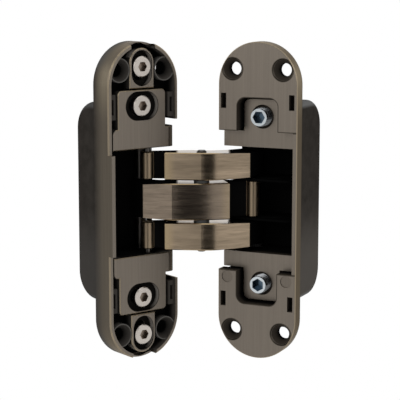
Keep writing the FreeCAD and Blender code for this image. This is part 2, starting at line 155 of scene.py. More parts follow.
def buildBrushLines():
    tree, enter, leave = startGroup("brushLines", ["Vector"], ["Contrast"], ["Streak", "Patch"])
    both, broad = blendNoise(tree, enter["Vector"], brushNoise)
    middle = brushNoise["middle"]
    centred = mathNode(tree, "MULTIPLY", mathNode(tree, "SUBTRACT", both, middle), enter["Contrast"])
    tree.links.new(mathNode(tree, "ADD", centred, middle, clamp=True), leave["Streak"])
    tree.links.new(broad, leave["Patch"])
    return tree


# where the brush never reached: inside the leaf's round-ended outline and below its face; further down, painted
# shade darkens the hollows to black
leafOutline = {"arcCentre": 0.041, "sunk": (0.0002, 0.0006), "shadeDepth": (0.0008, 0.0046), "back": (0.002, 0.010)}


def buildRecess():
    tree, enter, leave = startGroup("recess", ["Vector"], ["Reach", "Face"], ["Recess", "Depth", "Back", "Rim"])
    across, deep, upright = foldVector(tree, enter["Vector"])
    beyond = mathNode(tree, "MAXIMUM", mathNode(tree, "SUBTRACT", upright, leafOutline["arcCentre"]), 0.0)
    within = mathNode(tree, "LESS_THAN", hypotenuse(tree, across, beyond), enter["Reach"])
    below = mathNode(tree, "SUBTRACT", deep, enter["Face"])
    sunk = softStep(tree, below, leafOutline["sunk"])
    tree.links.new(mathNode(tree, "MULTIPLY", within, sunk), leave["Recess"])
    tree.links.new(softStep(tree, below, leafOutline["shadeDepth"]), leave["Depth"])
    tree.links.new(softStep(tree, below, leafOutline["back"]), leave["Back"])
    tree.links.new(inverse(tree, within), leave["Rim"])
    return tree


# the outside of a back box: what looks backwards, and the walls behind the plate past the hollow's own
def buildOuterShell():
    tree, enter, leave = startGroup(
        "outerShell", ["Vector"],
        ["Backwards", "Plate Back", "Side", "Hollow End", "Cap Side", "Cap Depth", "Cap End"], ["Shell"])
    across, deep, upright = foldVector(tree, enter["Vector"])

    def past(value, limit):
        return mathNode(tree, "GREATER_THAN", value, enter[limit])

    besideCap = mathNode(tree, "MAXIMUM", past(across, "Cap Side"), past(deep, "Cap Depth"))
    boxEnd = mathNode(tree, "MULTIPLY", past(upright, "Hollow End"), besideCap)
    wall = chain(tree, "MAXIMUM", boxEnd, past(upright, "Cap End"), past(across, "Side"))
    wall = mathNode(tree, "MULTIPLY", wall, past(deep, "Plate Back"))
    tree.links.new(mathNode(tree, "MAXIMUM", wall, enter["Backwards"]), leave["Shell"])
    return tree


# cast skin: a fine sand grain with broader blotches
castNoise = {
    "fine": {"Scale": 2600.0, "Detail": 2.0, "Roughness": 0.6}, "fineShare": 0.35,
    "broad": {"Scale": 260.0, "Detail": 3.0, "Roughness": 0.6}, "broadShare": 0.65, "limits": (0.34, 0.66),
}


def buildCastGrain():
    tree, enter, leave = startGroup("castGrain", ["Vector"], [], ["Grain"])
    both = blendNoise(tree, enter["Vector"], castNoise)[0]
    tree.links.new(softStep(tree, both, castNoise["limits"]), leave["Grain"])
    return tree


# rubbed corners: faces that lean between the given axis and its plane, as a chamfer does
chamferLean = {"rise": (0.35, 0.55), "fall": (0.97, 0.86)}


def buildRubbedEdge():
    tree, enter, leave = startGroup("rubbedEdge", ["Normal", "Axis"], [], ["Edge"])
    lean = mathNode(tree, "ABSOLUTE", vectorNode(tree, "DOT_PRODUCT", enter["Normal"], enter["Axis"]))
    rise, fall = (softStep(tree, lean, chamferLean[name]) for name in ("rise", "fall"))
    tree.links.new(mathNode(tree, "MULTIPLY", rise, fall), leave["Edge"])
    return tree


# an arm's own zones: dark neck, turned barrel round the sliding pin, tail, a painted highlight at the face's end,
# and its middle; neck and tail are painted black as shade
armSteps = {
    "neck": (-0.0001, 0.00005), "barrel": (0.00002, 0.00025), "tail": (0.0, 0.0004), "endHighlight": (-0.0042, -0.0006),
    "middleWay": (0.79, -0.61, 0.0), "middleRise": (-0.0092, -0.0080), "middleFall": (0.0104, 0.0092),
}


def buildArmZones():
    tree, enter, leave = startGroup(
        "armZones", ["Vector", "Cross", "Slide", "Slide Way", "Tail Way"], ["Face End", "Shoulder", "Barrel Radius"],
        ["Neck", "Barrel", "Tail", "End Highlight", "Middle"])
    fromCross = vectorNode(tree, "SUBTRACT", enter["Vector"], enter["Cross"])
    fromSlide = vectorNode(tree, "SUBTRACT", enter["Vector"], enter["Slide"])
    out = vectorNode(tree, "LENGTH", vectorNode(tree, "MULTIPLY", fromSlide, (1.0, 1.0, 0.0)))
    outside = softStep(tree, mathNode(tree, "SUBTRACT", out, enter["Barrel Radius"]), armSteps["barrel"])
    reach = vectorNode(tree, "DOT_PRODUCT", fromCross, enter["Slide Way"])
    short = mathNode(tree, "SUBTRACT", reach, enter["Face End"])
    past = softStep(tree, short, armSteps["neck"])
    along = vectorNode(tree, "DOT_PRODUCT", fromCross, enter["Tail Way"])
    behind = mathNode(tree, "SUBTRACT", along, enter["Shoulder"])
    across = vectorNode(tree, "DOT_PRODUCT", fromCross, armSteps["middleWay"])
    rise, fall = (softStep(tree, across, armSteps[name]) for name in ("middleRise", "middleFall"))
    tree.links.new(mathNode(tree, "MULTIPLY", past, outside), leave["Neck"])
    tree.links.new(mathNode(tree, "MULTIPLY", past, inverse(tree, outside)), leave["Barrel"])
    tree.links.new(softStep(tree, behind, armSteps["tail"]), leave["Tail"])
    tree.links.new(softStep(tree, short, armSteps["endHighlight"]), leave["End Highlight"])
    tree.links.new(mathNode(tree, "MULTIPLY", rise, fall), leave["Middle"])
    return tree


# which way a face looks: 1 towards the given direction, 0 away from it
def buildFacing():
    tree, enter, leave = startGroup("facing", ["Normal", "Axis"], ["Low", "High"], ["Facing"])
    lean = vectorNode(tree, "DOT_PRODUCT", enter["Normal"], enter["Axis"])
    tree.links.new(softStep(tree, lean, (enter["Low"], enter["High"])), leave["Facing"])
    return tree


lineFade = (1.0, 0.25)  # a thin line's shade, from its rim inwards, as shares of its half width


# painted shade: a dark line in the corners of the door leaf's opening and its two notches
def buildNotchLine():
    tree, enter, leave = startGroup(
        "notchLine", ["Vector"], ["Half Width", "Half Height", "Round", "Opening", "Line"], ["Mask"])
    across, _, upright = foldVector(tree, enter["Vector"])

    def pastCorner(value, half):
        inset = mathNode(tree, "SUBTRACT", enter[half], enter["Round"])
        return mathNode(tree, "MAXIMUM", mathNode(tree, "SUBTRACT", value, inset), 0.0)

    corner = hypotenuse(tree, pastCorner(across, "Half Width"), pastCorner(upright, "Half Height"))
    notch = mathNode(tree, "SUBTRACT", corner, enter["Round"])
    opening = mathNode(tree, "SUBTRACT", upright, enter["Opening"])
    near = mathNode(tree, "ABSOLUTE", mathNode(tree, "MINIMUM", notch, opening))
    tree.links.new(softStep(tree, mathNode(tree, "DIVIDE", near, enter["Line"]), lineFade), leave["Mask"])
    return tree


# a ring round each of the four wood screw holes, at the rim of its countersink
def buildHoleRing():
    tree, enter, leave = startGroup("holeRing", ["Vector"], ["Across", "Upright", "Radius", "Line"], ["Mask"])
    across, _, upright = foldVector(tree, enter["Vector"])
    out = hypotenuse(tree, mathNode(tree, "SUBTRACT", across, enter["Across"]),
                     mathNode(tree, "SUBTRACT", upright, enter["Upright"]))
    near = mathNode(tree, "ABSOLUTE", mathNode(tree, "SUBTRACT", out, enter["Radius"]))
    tree.links.new(softStep(tree, mathNode(tree, "DIVIDE", near, enter["Line"]), lineFade), leave["Mask"])
    return tree


brushLines = buildBrushLines()
recess = buildRecess()
outerShell = buildOuterShell()
castGrain = buildCastGrain()
rubbedEdge = buildRubbedEdge()
armZones = buildArmZones()
facing = buildFacing()
notchLine = buildNotchLine()
holeRing = buildHoleRing()
print("shared groups ready")


def startMaterial(name, metallic, roughness):
    material = bpy.data.materials.new(name)
    material.use_nodes = True
    tree = material.node_tree
    shader = tree.nodes["Principled BSDF"]
    shader.inputs["Metallic"].default_value = metallic
    shader.inputs["Roughness"].default_value = roughness
    return material, tree, shader


def placeGroup(tree, group, values=None, **links):
    node = addNode(tree, "ShaderNodeGroup", node_tree=group)
    for name, value in (values or {}).items():
        node.inputs[name].default_value = value
    for name, socket in links.items():
        tree.links.new(socket, node.inputs[name])
    return node


def brushVector(tree, socket, stretch):
    mapping = addNode(tree, "ShaderNodeMapping", {"Scale": stretch}, vector_type="POINT")
    tree.links.new(socket, mapping.inputs["Vector"])
    return mapping.outputs[0]


def addBump(tree, shader, height, look):
    bump = addNode(tree, "ShaderNodeBump", {"Strength": look["bump"], "Distance": look["bumpDepth"]})
    tree.links.new(height, bump.inputs["Height"])
    tree.links.new(bump.outputs[0], shader.inputs["Normal"])


# a point in its own leaf's frame: across, depth below the face, and height
def leafVector(tree, coords, leaf):
    if leaf == "frame":
        return coords.outputs["Object"]
    settings = {"Location": doorLeaf["corner"], "Rotation": (0.0, 0.0, doorLeaf["turn"])}
    mapping = addNode(tree, "ShaderNodeMapping", settings, vector_type="TEXTURE")
    tree.links.new(coords.outputs["Object"], mapping.inputs["Vector"])
    return mapping.outputs[0]


# antique bronze: brushed upright where it is proud, darker down its flanks, dark where the brush can't reach and
# black deeper down as painted shade, with a dull cast skin on the back boxes
leafFinish = {
    "bright": (0.208, 0.178, 0.146), "dull": (0.138, 0.120, 0.101), "brass": (0.36, 0.29, 0.19),
    "upperFlankHighlight": (0.235, 0.200, 0.145), "shadeLine": (0.045, 0.038, 0.030), "black": (0.004, 0.004, 0.004),
    "castDark": (0.023, 0.0205, 0.0180), "castLight": (0.033, 0.0292, 0.0258), "castEdge": (0.052, 0.047, 0.042),
    "bossRimHighlight": (0.085, 0.080, 0.074), "slotLitWall": (0.250, 0.228, 0.204), "slotShadedFloor": (0.009, 0.008, 0.007),
    "grazing": (0.87, 0.79, 0.69), "stretch": (8200, 8200, 60), "contrast": 1.6,
    "roughness": 0.36, "roughLess": 0.05, "roughSpread": 0.10, "roughHidden": 0.3,
    "bump": 0.10, "bumpDepth": 0.00005, "grainHeight": 2.0,
    "ahead": {"Low": 0.15, "High": 0.55}, "backwards": {"Low": 0.3, "High": 0.5},
    "slotLitSide": {"Axis": (-1.0, 0.0, 0.0), "Low": 0.3, "High": 0.95},
    "lowEnd": (0.002, -0.022), "lowShare": 0.75, "roundEnd": (0.15, 0.65),
    "shoulderRise": (0.027, 0.043), "shoulderFall": (0.051, 0.045), "shoulderStreak": 0.6, "shoulderLeast": 0.35,
}
# the frame leaf's and the door leaf's tones are lit and shaded copies of one finish: their flank, ledge and
# cast-skin tones differ as painted light and shade
leafTones = {
    "frame": {"front": (0.0, -1.0, 0.0), "side": (0.070, 0.061, 0.050), "streak": (0.135, 0.117, 0.093),
              "ledge": (0.040, 0.036, 0.032), "castEndHighlight": (0.070, 0.069, 0.067), "castLowHighlight": (0.050, 0.0465, 0.043)},
    "door": {"front": tuple(-doorDeep), "side": (0.048, 0.040, 0.030), "streak": (0.090, 0.070, 0.045),
             "ledge": (0.036, 0.030, 0.024), "castEndHighlight": (0.130, 0.129, 0.127), "castLowHighlight": (0.082, 0.075, 0.067)},
}
leafPlaces = {
    "leafFrameBronze": {
        "leaf": "frame", "face": 0.0, "reach": 0.01405,
        "box": {"Plate Back": 0.0088, "Side": 0.0139, "Hollow End": 0.0300,
                "Cap Side": -1.0, "Cap Depth": 1.0, "Cap End": 0.0300},
        "bossHighlightRings": {"Across": 0.009375, "Upright": 0.04626, "Radius": 0.00402, "Line": 0.00034}},
    "leafDoorBronze": {
        "leaf": "door", "face": 0.0, "reach": 0.01445,
        "box": {"Plate Back": 0.0047, "Side": 0.0141, "Hollow End": 0.0300,
                "Cap Side": 0.0083, "Cap Depth": 0.0099, "Cap End": 0.0371},
        "shadeRings": {"Across": 0.009375, "Upright": 0.04626, "Radius": 0.00385, "Line": 0.00040},
        "notch": {"Half Width": 0.0076, "Half Height": 0.0364, "Round": 0.0030, "Opening": 0.0248, "Line": 0.00045}},
    "cradleFrameBronze": {"leaf": "frame", "face": 0.0009, "reach": farReach, "slotHalf": 0.0085},
    "plateFrameBronze": {"leaf": "frame", "face": 0.0009, "reach": farReach, "slotHalf": 0.0047},
    "cradleDoorBronze": {"leaf": "door", "face": 0.0048, "reach": farReach},
}


# a back box's cast skin, with painted light: paler towards its lower end and on its rounded ends
def castColour(tree, tone, grain, worn, upright, normal):
    finish = leafFinish
    cast = mixColour(tree, grain, finish["castDark"], finish["castLight"])
    low = mathNode(tree, "MULTIPLY", softStep(tree, upright, finish["lowEnd"]), finish["lowShare"])
    cast = mixColour(tree, low, cast, tone["castLowHighlight"])
    cast = mixColour(tree, worn, cast, finish["castEdge"])
    lean = mathNode(tree, "ABSOLUTE", splitVector(tree, normal)[2])
    return mixColour(tree, softStep(tree, lean, finish["roundEnd"]), cast, tone["castEndHighlight"])


# a leaf's brushed flank, with a painted brass highlight at its upper shoulder
def flankColour(tree, tone, streak, upright):
    finish = leafFinish
    flank = mixColour(tree, streak, tone["side"], tone["streak"])
    rise, fall = (softStep(tree, upright, finish[name]) for name in ("shoulderRise", "shoulderFall"))
    paintedLight = mathNode(tree, "MULTIPLY_ADD", streak, finish["shoulderStreak"], finish["shoulderLeast"])
    return mixColour(tree, chain(tree, "MULTIPLY", rise, fall, paintedLight), flank, finish["upperFlankHighlight"])


def makeLeafBronze(name, place):
    finish, tone = leafFinish, leafTones[place["leaf"]]
    material, tree, shader = startMaterial(name, 1.0, finish["roughness"])
    coords = addNode(tree, "ShaderNodeTexCoord")
    shader.inputs["Specular IOR Level"].default_value = 0.0
    shader.inputs["Specular Tint"].default_value = (*finish["grazing"], 1.0)
    local = leafVector(tree, coords, place["leaf"])
    normal = coords.outputs["Normal"]
    stretched = brushVector(tree, local, finish["stretch"])
    lines = placeGroup(tree, brushLines, {"Contrast": finish["contrast"]}, Vector=stretched)
    zones = placeGroup(tree, recess, {"Reach": place["reach"], "Face": place["face"]}, Vector=local)
    edge = placeGroup(tree, rubbedEdge, {"Axis": tone["front"]}, Normal=normal)
    streak = height = lines.outputs["Streak"]
    colour = mixColour(tree, streak, finish["dull"], finish["bright"])
    worn = mathNode(tree, "MULTIPLY", edge.outputs["Edge"], lines.outputs["Patch"])
    hidden = zones.outputs["Recess"]
    bare = inverse(tree, hidden)
    ledge = tone["ledge"]
    if "box" in place:
        upright = splitVector(tree, local)[2]
        ahead = placeGroup(tree, facing, {"Axis": tone["front"], **finish["ahead"]}, Normal=normal)
        away = {"Axis": tuple(-part for part in tone["front"]), **finish["backwards"]}
        backwards = placeGroup(tree, facing, away, Normal=normal).outputs["Facing"]
        shell = placeGroup(tree, outerShell, place["box"], Vector=local, Backwards=backwards).outputs["Shell"]
        grain = placeGroup(tree, castGrain, Vector=local).outputs["Grain"]
        behind = mathNode(tree, "MAXIMUM", zones.outputs["Back"], shell)
        plain = inverse(tree, behind)
        hidden = mathNode(tree, "MULTIPLY", hidden, inverse(tree, shell))
        # the cast skin is a dull coat, not bare metal
        bare = mathNode(tree, "MULTIPLY", inverse(tree, hidden), plain)
        colour = mixColour(tree, ahead.outputs["Facing"], flankColour(tree, tone, streak, upright), colour)
        colour = mixColour(tree, behind, colour, castColour(tree, tone, grain, worn, upright, normal))
        worn = chain(tree, "MULTIPLY", worn, plain, zones.outputs["Rim"])
        height = mathNode(tree, "MULTIPLY_ADD", streak, plain,
                          chain(tree, "MULTIPLY", grain, behind, finish["grainHeight"]))
    # painted shade: dark lines in the notches' corners and round the countersinks
    if "notch" in place:  # dark lines in the notches' corners and round the countersinks
        line = placeGroup(tree, notchLine, place["notch"], Vector=local)
        ring = placeGroup(tree, holeRing, place["shadeRings"], Vector=local)
        both = mathNode(tree, "MAXIMUM", line.outputs["Mask"], ring.outputs["Mask"])
        both = chain(tree, "MULTIPLY", both, inverse(tree, zones.outputs["Rim"]), bare)
        colour = mixColour(tree, both, colour, finish["shadeLine"])
    colour = mixColour(tree, worn, colour, finish["brass"])
    if "slotHalf" in place:  # painted light and shade: a screw slot's floor is black as shade and its wall facing -X is pale as if lit
        across = mathNode(tree, "ABSOLUTE", splitVector(tree, local)[0])
        paintedLight = placeGroup(tree, facing, finish["slotLitSide"], Normal=normal)
        slot = mixColour(tree, paintedLight.outputs["Facing"], finish["slotShadedFloor"], finish["slotLitWall"])
        ledge = mixColour(tree, mathNode(tree, "LESS_THAN", across, place["slotHalf"]), ledge, slot)
    if "bossHighlightRings" in place:  # painted highlight: the frame leaf's bosses are pale round their rims
        ring = placeGroup(tree, holeRing, place["bossHighlightRings"], Vector=local)
        ledge = mixColour(tree, ring.outputs["Mask"], ledge, finish["bossRimHighlight"])
    # painted shade: the hollow's ledge tone falls to black with depth
    hollow = mixColour(tree, zones.outputs["Depth"], ledge, finish["black"])
    tree.links.new(mixColour(tree, hidden, colour, hollow), shader.inputs["Base Color"])
    rough = mathNode(tree, "MULTIPLY_ADD", streak, finish["roughSpread"], finish["roughness"] - finish["roughLess"])
    rough = mathNode(tree, "MULTIPLY_ADD", hidden, finish["roughHidden"], rough)
    tree.links.new(rough, shader.inputs["Roughness"])
    tree.links.new(bare, shader.inputs["Metallic"])
    addBump(tree, shader, height, finish)
    return material


leafBronzes = {name: makeLeafBronze(name, place) for name, place in leafPlaces.items()}
print("leaf bronze ready")

# arms: brushed along their length in front, brassy on the barrel and the rubbed corners, with a painted highlight at
# the face's end, and painted black at neck, tail and the ends of top and underside as shade
armFinish = {
    "brass": (0.42, 0.32, 0.19), "barrel": (0.26, 0.20, 0.135), "rear": (0.075, 0.062, 0.050),
    "black": (0.004, 0.004, 0.004), "stretch": (150, 150, 2600), "contrast": 2.6, "edgeWear": 0.8,
    "roughness": 0.21, "roughLess": 0.05, "roughSpread": 0.10, "roughDark": 0.35, "roughBarrel": 0.14,
    "bump": 0.12, "bumpDepth": 0.00005, "ahead": {"Low": 0.1, "High": 0.5}, "level": (0.93, 0.99),
    "cross": (0.0184846, -0.0086683, 0.0), "barrelRadius": 0.00225,
}
armPlaces = {
    "centreArmBronze": {"tail": (0.0074, 0.0129, 0.0), "slide": (0.03657, -0.01525, 0.0),
                        "faceEnd": 0.0091, "shoulder": 0.0181, "front": 236.0, "endHighlightShare": 0.3,
                        "bright": (0.325, 0.258, 0.196), "dull": (0.140, 0.112, 0.086)},
    "outerArmBronze": {"tail": (0.0427345, -0.0087530, 0.0), "slide": (0.00441, 0.00446, 0.0),
                       "faceEnd": 0.0127, "shoulder": 0.0142, "front": 238.0, "endHighlightShare": 0.75,
                       "bright": (0.435, 0.338, 0.237), "dull": (0.188, 0.147, 0.103)},
}


def makeArmBronze(name, place):
    finish = armFinish
    material, tree, shader = startMaterial(name, 1.0, finish["roughness"])
    coords = addNode(tree, "ShaderNodeTexCoord")
    shader.inputs["Specular IOR Level"].default_value = 0.0
    local = coords.outputs["Object"]
    normal = coords.outputs["Normal"]
    cross = Vector(finish["cross"])
    values = {
        "Cross": cross, "Slide": place["slide"], "Face End": place["faceEnd"], "Shoulder": place["shoulder"],
        "Slide Way": (Vector(place["slide"]) - cross).normalized(),
        "Tail Way": (Vector(place["tail"]) - cross).normalized(), "Barrel Radius": finish["barrelRadius"],
    }
    turn = math.radians(place["front"])
    ahead = {"Axis": (math.cos(turn), math.sin(turn), 0.0), **finish["ahead"]}
    stretched = brushVector(tree, local, finish["stretch"])
    lines = placeGroup(tree, brushLines, {"Contrast": finish["contrast"]}, Vector=stretched)
    zones = placeGroup(tree, armZones, values, Vector=local)
    edge = placeGroup(tree, rubbedEdge, {"Axis": (0.0, 0.0, 1.0)}, Normal=normal)
    front = placeGroup(tree, facing, ahead, Normal=normal)
    streak, barrel = lines.outputs["Streak"], zones.outputs["Barrel"]
    lean = mathNode(tree, "ABSOLUTE", splitVector(tree, normal)[2])
    level = softStep(tree, lean, finish["level"])  # the flat top and underside
    brushed = mathNode(tree, "MAXIMUM", front.outputs["Facing"], level)
    # brass on the arm: edge wear on the corners and a painted highlight at the face's end
    worn = mathNode(tree, "MAXIMUM", mathNode(tree, "MULTIPLY", edge.outputs["Edge"], finish["edgeWear"]),
                    mathNode(tree, "MULTIPLY", zones.outputs["End Highlight"], place["endHighlightShare"]))
    # painted shade: the flat top and underside outside the arm's middle are black
    ends = mathNode(tree, "MULTIPLY", level, inverse(tree, zones.outputs["Middle"]))  # black like the neck and tail
    dark = chain(tree, "MAXIMUM", zones.outputs["Neck"], zones.outputs["Tail"], ends)
    colour = mixColour(tree, streak, place["dull"], place["bright"])
    colour = mixColour(tree, brushed, finish["rear"], colour)
    colour = mixColour(tree, worn, colour, finish["brass"])
    colour = mixColour(tree, dark, colour, finish["black"])
    tree.links.new(mixColour(tree, barrel, colour, finish["barrel"]), shader.inputs["Base Color"])
    rough = mathNode(tree, "MULTIPLY_ADD", streak, finish["roughSpread"], finish["roughness"] - finish["roughLess"])
    rough = mathNode(tree, "MULTIPLY_ADD", dark, finish["roughDark"], rough)
    rough = mathNode(tree, "MULTIPLY_ADD", barrel, finish["roughBarrel"], rough)
    tree.links.new(rough, shader.inputs["Roughness"])
    tree.links.new(inverse(tree, dark), shader.inputs["Metallic"])
    addBump(tree, shader, streak, finish)
    return material


armBronzes = {name: makeArmBronze(name, place) for name, place in armPlaces.items()}
print("arm bronze ready")

# turned pieces: a ring-brushed metal with a faint change of tone
turnedLook = {"contrast": 1.6, "roughLess": 0.07, "roughSpread": 0.14, "bump": 0.06, "bumpDepth": 0.00004}
turnedFinishes = {
    "pinSteel": {"bright": (0.11, 0.10, 0.09), "dull": (0.06, 0.055, 0.05), "roughness": 0.30,
                 "stretch": (300, 300, 2600)},
    "satinNickel": {"bright": (0.60, 0.55, 0.50), "dull": (0.47, 0.43, 0.39), "roughness": 0.30,
                    "stretch": (1500, 90, 1500), "headFace": 0.0006, "socket": (0.22, 0.18, 0.145)},
    "brightZinc": {"bright": (0.62, 0.66, 0.68), "dull": (0.45, 0.49, 0.52), "roughness": 0.22,
                   "stretch": (1800, 1800, 1800)},
    "threadZinc": {"bright": (0.22, 0.225, 0.23), "dull": (0.10, 0.105, 0.11), "roughness": 0.26,
                   "stretch": (1800, 1800, 1800)},
    "socketBlue": {"bright": (0.10, 0.15, 0.20), "dull": (0.04, 0.06, 0.08), "roughness": 0.25,
                   "stretch": (900, 900, 900)},
}


def makeTurned(name, finish):
    look = turnedLook
    material, tree, shader = startMaterial(name, 1.0, finish["roughness"])
    coords = addNode(tree, "ShaderNodeTexCoord")
    local = coords.outputs["Object"]
    stretched = brushVector(tree, local, finish["stretch"])
    lines = placeGroup(tree, brushLines, {"Contrast": look["contrast"]}, Vector=stretched)
    colour = mixColour(tree, lines.outputs["Streak"], finish["dull"], finish["bright"])
    # painted shade: the socket and shank are darker behind the head's face
    if "headFace" in finish:  # a clamp screw's socket and shank stay dark behind its head's face
        sunk = placeGroup(tree, recess, {"Reach": farReach, "Face": finish["headFace"]}, Vector=local)
        colour = mixColour(tree, sunk.outputs["Recess"], colour, finish["socket"])
    tree.links.new(colour, shader.inputs["Base Color"])
    rough = mathNode(tree, "MULTIPLY_ADD", lines.outputs["Patch"], look["roughSpread"],
                     finish["roughness"] - look["roughLess"])
    tree.links.new(rough, shader.inputs["Roughness"])
    addBump(tree, shader, lines.outputs["Streak"], look)
    return material


metals = {name: makeTurned(name, finish) for name, finish in turnedFinishes.items()}

# blackened pieces: a dull coat with a fine grain
blackLook = {"roughness": 0.6, "grain": {"Scale": 4200.0, "Detail": 3.0}, "bump": 0.2, "bumpDepth": 0.00004}
blackFinishes = {
    "spacerBlack": {"dark": (0.012, 0.012, 0.012), "light": (0.035, 0.034, 0.032), "specular": 0.4},
    # the door's guide plates sit deep in its hollow, near-black and without sheen as painted shade
    "guideBlack": {"dark": (0.001, 0.001, 0.001), "light": (0.004, 0.004, 0.004), "specular": 0.0},
}


def makeBlackened(name, finish):
    material, tree, shader = startMaterial(name, 0.0, blackLook["roughness"])
    coords = addNode(tree, "ShaderNodeTexCoord")
    shader.inputs["Specular IOR Level"].default_value = finish["specular"]
    grain = addNoise(tree, coords.outputs["Object"], blackLook["grain"])
    tree.links.new(mixColour(tree, grain, finish["dark"], finish["light"]), shader.inputs["Base Color"])
    addBump(tree, shader, grain, blackLook)
    return material


blacks = {name: makeBlackened(name, finish) for name, finish in blackFinishes.items()}

finishes = (
    (leafBronzes["leafFrameBronze"], ["frame_housing"]),
    (leafBronzes["leafDoorBronze"], ["door_housing"]),
    (leafBronzes["cradleFrameBronze"], ["frame_cradle"]),
    (leafBronzes["plateFrameBronze"], ["height_plate_upper", "height_plate_lower"]),
    (leafBronzes["cradleDoorBronze"], ["door_cradle"]),
    (armBronzes["centreArmBronze"], ["centre_arm"]),
    (armBronzes["outerArmBronze"], ["outer_arm_upper", "outer_arm_lower"]),
    (metals["pinSteel"], ["frame_sleeve_upper", "frame_sleeve_lower", "door_sleeve", "frame_pivot_pin",
                          "door_pivot_pin", "cross_pin", "centre_slide_pin", "outer_slide_pins"]),
    (metals["satinNickel"], ["height_screw_upper", "height_screw_lower", "depth_screw_upper", "depth_screw_lower"]),
    (metals["brightZinc"], ["press_screw_upper", "press_screw_lower"]),
    (blacks["spacerBlack"], ["cross_washers", "door_pivot_washers"]),
    (blacks["guideBlack"], ["door_guide_plate_upper", "door_guide_plate_lower"]),
)
for material, nodeNames in finishes:
    for nodeName in nodeNames:
        for slot in cadNodes[nodeName].material_slots:
            slot.material = material
print("finishes on", sum(len(nodeNames) for material, nodeNames in finishes), "nodes")


def makePiece(name, mesh, materials):
    data = bpy.data.meshes.new(name)
    mesh.to_mesh(data)
    mesh.free()
    for material in materials:
        data.materials.append(material)
    piece = bpy.data.objects.new(name, data)
    bpy.context.scene.collection.objects.link(piece)
    return piece


# press screws: a socket set screw with a rolled thread, one above and one below
pressScrew = {
    "radius": 0.0033, "root": 0.00290, "face": 0.0013, "length": 0.0070, "height": 0.0296, "sides": 24,
    "chamfer": 0.0003, "chamferDeep": 0.00018, "hexCorner": 0.00231, "hexDepth": 0.0030, "hexCuts": 3,
    "pitch": 0.0010, "steps": 24, "threadStart": 0.00055, "ridgeEnd": 8,
    "ridge": ((-0.00012, 0.0), (0.00038, 0.00026), (0.00038, 0.00040), (-0.00012, 0.00066)),
}
screwMaterials = [metals["brightZinc"], metals["socketBlue"], metals["threadZinc"], blacks["spacerBlack"]]
# the thread's core takes the black coat as painted shade in the valleys between the ridges
screwSlots = {"socket": 1, "thread": 2, "shadedCore": 3}  # the ring round the socket keeps slot 0


# extrudes a loop of edges along the screw and scales it about the axis
def moveLoop(mesh, edges, shift, grow=1.0):
    made = bmesh.ops.extrude_edge_only(mesh, edges=edges)["geom"]
    verts = [item for item in made if isinstance(item, bmesh.types.BMVert)]
    loop = [item for item in made if isinstance(item, bmesh.types.BMEdge) and all(v in verts for v in item.verts)]
    bmesh.ops.scale(mesh, vec=(grow, grow, 1.0), verts=verts)
    bmesh.ops.translate(mesh, vec=(0.0, 0.0, shift), verts=verts)
    return loop


def addCircle(mesh, sides, radius, degrees=0.0):
    verts = bmesh.ops.create_circle(mesh, segments=sides, radius=radius)["verts"]
    turn = Matrix.Rotation(math.radians(degrees), 3, "Z")
    bmesh.ops.rotate(mesh, cent=(0, 0, 0), matrix=turn, verts=verts)
    return list({edge for vert in verts for edge in vert.link_edges})


def facesOf(edges):
    return {face for edge in edges for face in edge.link_faces}


def makePressScrew(name, sign, hexTurn, body, node):
    size = pressScrew
    mesh = bmesh.new()
    tip = size["radius"] - size["chamfer"]
    rimEdges = addCircle(mesh, size["sides"], tip)
    hexEdges = addCircle(mesh, 6, size["hexCorner"], hexTurn)
    cut = bmesh.ops.subdivide_edges(mesh, edges=hexEdges, cuts=size["hexCuts"])
    hexEdges = [item for item in cut["geom"] if isinstance(item, bmesh.types.BMEdge)]
    bmesh.ops.bridge_loops(mesh, edges=rimEdges + hexEdges)
    floor = moveLoop(mesh, hexEdges, size["hexDepth"])
    bmesh.ops.edgeloop_fill(mesh, edges=floor)
    for face in facesOf(floor):
        face.material_index = screwSlots["socket"]
    ring = set(mesh.faces)
    shoulder = moveLoop(mesh, rimEdges, size["chamferDeep"], size["root"] / tip)
    shadedCore = facesOf(shoulder)
    foot = moveLoop(mesh, shoulder, size["length"] - 2 * size["chamferDeep"])
    shadedCore |= facesOf(foot)
    end = moveLoop(mesh, foot, size["chamferDeep"], tip / size["root"])
    bmesh.ops.edgeloop_fill(mesh, edges=end)
    turns = int((size["length"] - size["threadStart"] - size["ridge"][-1][1]) / size["pitch"])
    ridge = [mesh.verts.new((size["root"] + out, 0.0, size["threadStart"] + along)) for out, along in size["ridge"]]
    tooth = mesh.faces.new(ridge)
    bmesh.ops.spin(mesh, geom=[tooth] + list(tooth.edges) + ridge, cent=(0, 0, 0), axis=(0, 0, 1),
                   dvec=(0, 0, size["pitch"] / size["steps"]), angle=2 * math.pi * turns,
                   steps=size["steps"] * turns, use_merge=False, use_duplicate=False)
    openEdges = [edge for edge in mesh.edges if edge.is_boundary]
    if openEdges:
        bmesh.ops.holes_fill(mesh, edges=openEdges, sides=size["ridgeEnd"])
    for face in set(mesh.faces) - ring:
        face.material_index = screwSlots["shadedCore" if face in shadedCore else "thread"]
    bmesh.ops.recalc_face_normals(mesh, faces=list(mesh.faces))
    turn = Matrix.Rotation(doorLeaf["turn"], 4, "Z") @ Matrix.Rotation(math.radians(-90), 4, "X")
    start = Vector(doorLeaf["corner"]) + doorDeep * size["face"] + Vector((0, 0, sign * size["height"]))
    bmesh.ops.transform(mesh, matrix=Matrix.Translation(start) @ turn, verts=list(mesh.verts))
    piece = makePiece(name, mesh, screwMaterials)
    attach(piece, body)
    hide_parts(node)


makePressScrew("pressScrewUpper", 1, 30, "press_screw_upper_body", "press_screw_upper")
makePressScrew("pressScrewLower", -1, 0, "press_screw_lower_body", "press_screw_lower")
print("press screws threaded")

